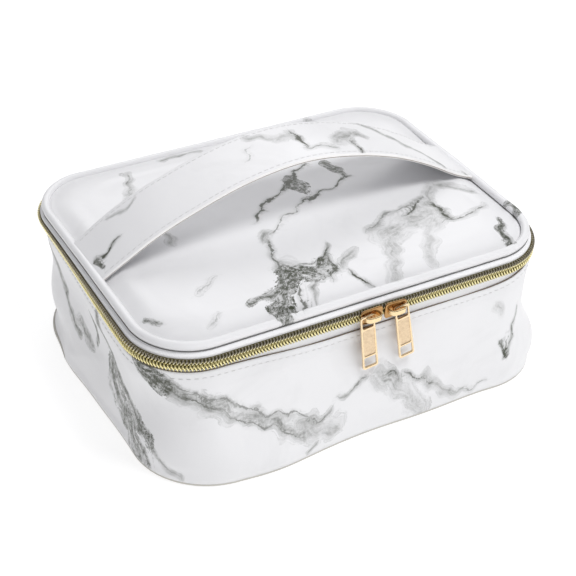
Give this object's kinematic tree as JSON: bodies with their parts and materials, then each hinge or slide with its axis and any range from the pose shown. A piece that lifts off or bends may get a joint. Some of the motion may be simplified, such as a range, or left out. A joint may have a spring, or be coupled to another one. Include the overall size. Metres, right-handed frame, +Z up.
{
  "type": "makeup train case",
  "caption": "Soft box-shaped makeup train case with a zip-around lid, a back hinge, twin zip sliders and a wide arched strap handle.",
  "frame": {"origin": "on the table under the middle of the case's box", "axes": "+X along the length, +Y to the back hinge, +Z up"},
  "size_m": [0.2314, 0.1802, 0.1159],
  "materials": {
    "marble_leather": "smooth satin coated fabric printed with grey-green marble veins",
    "white_leather": "smooth satin coated fabric",
    "white_piping": "satin coated fabric rolled round a cord",
    "padding_foam": "matt open foam",
    "stiff_board": "matt",
    "lining_cloth": "plain woven lining",
    "binding_tape": "folded woven tape",
    "zip_tape": "herringbone woven tape",
    "gold_coil": "bright metallised",
    "gold_metal": "polished pale gold plating"
  },
  "bodies": {
    "body": {"base_outer": "marble_leather", "base_board": "stiff_board", "base_lining": "lining_cloth", "base_piping": "white_piping", "wall_outer": "marble_leather", "wall_foam": "padding_foam", "wall_lining": "lining_cloth", "rim_binding": "binding_tape", "zip_tape_lower": "zip_tape", "zip_coil_lower": "gold_coil", "hinge_lower": "white_leather"},
    "lid": {"lid_outer": "marble_leather", "lid_foam": "padding_foam", "lid_lining": "lining_cloth", "lid_piping": "white_piping", "lid_binding": "binding_tape", "zip_tape_upper": "zip_tape", "zip_coil_upper": "gold_coil", "hinge_upper": "white_leather", "handle_end_left": "marble_leather", "handle_end_right": "marble_leather"},
    "handle": {"handle_top": "marble_leather", "handle_core": "padding_foam", "handle_underside": "white_leather"},
    "slider_left": {"slider_left": "gold_metal"},
    "slider_right": {"slider_right": "gold_metal"},
    "pull_left": {"pull_left": "gold_metal"},
    "pull_right": {"pull_right": "gold_metal"}
  },
  "joints": [
    {"name": "lid_hinge", "type": "hinge", "parent": "body", "child": "lid", "pos_m": [0, 0.0904, 0.068], "axis": [-1, 0, 0], "range_deg": [0, 180]},
    {"name": "handle_lean", "type": "hinge", "parent": "lid", "child": "handle", "pos_m": [0, 0.0069, 0.085], "axis": [1, 0, 0], "range_deg": [-25, 25], "stiffness_Nm_per_rad": 0.12},
    {"name": "slider_left_run", "type": "slide", "parent": "body", "child": "slider_left", "axis": [-1, 0, 0], "range_m": [0, 0.074]},
    {"name": "slider_right_run", "type": "slide", "parent": "body", "child": "slider_right", "axis": [1, 0, 0], "range_m": [0, 0.061]},
    {"name": "pull_left_swing", "type": "hinge", "parent": "slider_left", "child": "pull_left", "pos_m": [-0.0045, -0.0828, 0.068], "axis": [0, 1, 0], "range_deg": [-6, 96]},
    {"name": "pull_right_swing", "type": "hinge", "parent": "slider_right", "child": "pull_right", "pos_m": [0.0173, -0.0828, 0.068], "axis": [0, -1, 0], "range_deg": [-12, 81]}
  ]
}
